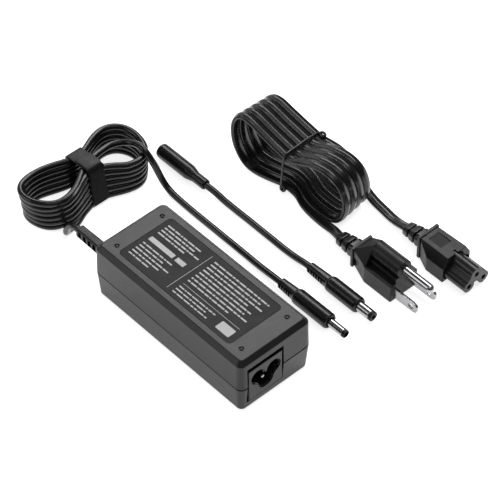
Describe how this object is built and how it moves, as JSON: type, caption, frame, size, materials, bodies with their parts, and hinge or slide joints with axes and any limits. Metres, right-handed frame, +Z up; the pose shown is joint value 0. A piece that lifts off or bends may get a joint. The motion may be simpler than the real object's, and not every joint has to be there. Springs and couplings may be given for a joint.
{
  "type": "laptop power adapter",
  "caption": "Rectangular two-shell power brick with a trefoil mains inlet, a hanked round output lead with barrel plug, a short plug-converter lead and a hanked flat mains lead.",
  "frame": {"origin": "centre of the brick's underside, on the surface that everything lies on", "axes": "+X along the brick towards its mains inlet, +Y across the brick towards the loose leads, +Z up"},
  "size_m": [0.1964, 0.1496, 0.0385],
  "materials": {
    "case_plastic": "fine spark-eroded matte texture",
    "label_film": "satin printed film",
    "inlet_plastic": "fine matte",
    "soft_plastic": "satin moulded PVC",
    "cord_jacket": "smooth satin PVC jacket",
    "strap_vinyl": "soft matte vinyl",
    "tie_plastic": "satin",
    "nickel_plate": "bright nickel plating",
    "contact_brass": "satin",
    "tip_insulation": "gloss",
    "board_laminate": "solder-mask satin",
    "insulation_film": "matte film",
    "aluminium_plate": "rolled satin",
    "ferrite": "dull sintered",
    "bobbin_plastic": "moulded",
    "winding_tape": "taped",
    "copper_wire": "enamelled",
    "capacitor_sleeve": "shrink sleeve",
    "capacitor_box": "moulded",
    "disc_coating": "dipped",
    "chip_epoxy": "moulded epoxy",
    "fuse_ceramic": "glazed",
    "wire_insulation": "satin PVC"
  },
  "bodies": {
    "root": {"top_shell": "case_plastic", "bottom_shell": "case_plastic", "rating_label": "label_film", "inlet_housing": "inlet_plastic", "inlet_live_pins": "nickel_plate", "inlet_earth_pin": "nickel_plate", "inlet_wires": "wire_insulation", "circuit_board": "board_laminate", "insulating_sheet": "insulation_film", "heat_spreader": "aluminium_plate", "transformer_core": "ferrite", "transformer_bobbin": "bobbin_plastic", "transformer_winding": "winding_tape", "bulk_capacitor": "capacitor_sleeve", "output_capacitors": "capacitor_sleeve", "noise_capacitor": "capacitor_box", "bridging_capacitors": "disc_coating", "choke_core": "ferrite", "choke_windings": "copper_wire", "bridge_rectifier": "chip_epoxy", "switching_transistor": "chip_epoxy", "primary_heat_sink": "aluminium_plate", "output_rectifier": "chip_epoxy", "secondary_heat_sink": "aluminium_plate", "fuse": "fuse_ceramic", "surge_varistor": "disc_coating", "control_chip": "chip_epoxy", "optocoupler": "chip_epoxy", "output_inductor": "ferrite", "output_wires": "wire_insulation", "lead_relief": "soft_plastic", "lead_tail": "cord_jacket", "lead_hank": "cord_jacket", "lead_run": "cord_jacket", "hank_strap": "strap_vinyl", "plug_relief": "soft_plastic", "plug_grip": "soft_plastic", "plug_sleeve": "nickel_plate", "plug_tip_insulator": "tip_insulation"},
    "converter_lead": {"tip_socket_housing": "soft_plastic", "tip_socket_sleeve": "nickel_plate", "tip_socket_pin": "nickel_plate", "tip_cord": "cord_jacket", "tip_relief": "soft_plastic", "tip_grip": "soft_plastic", "tip_sleeve": "nickel_plate", "tip_insulator": "tip_insulation"},
    "mains_lead": {"coupler_body": "soft_plastic", "coupler_nose": "soft_plastic", "coupler_contacts": "contact_brass", "coupler_relief": "soft_plastic", "coupler_cord": "cord_jacket", "mains_hank": "cord_jacket", "wire_tie": "tie_plastic", "mains_plug_cord": "cord_jacket", "mains_plug_relief": "soft_plastic", "mains_plug_body": "soft_plastic", "mains_plug_blades": "nickel_plate", "mains_plug_earth_pin": "nickel_plate"}
  },
  "joints": [
    {"name": "converter_lift", "type": "slide", "parent": "root", "child": "converter_lead", "axis": [0, 0, 1], "range_m": [0, 0.1]},
    {"name": "mains_lead_lift", "type": "slide", "parent": "root", "child": "mains_lead", "axis": [0, 0, 1], "range_m": [0, 0.12]}
  ]
}
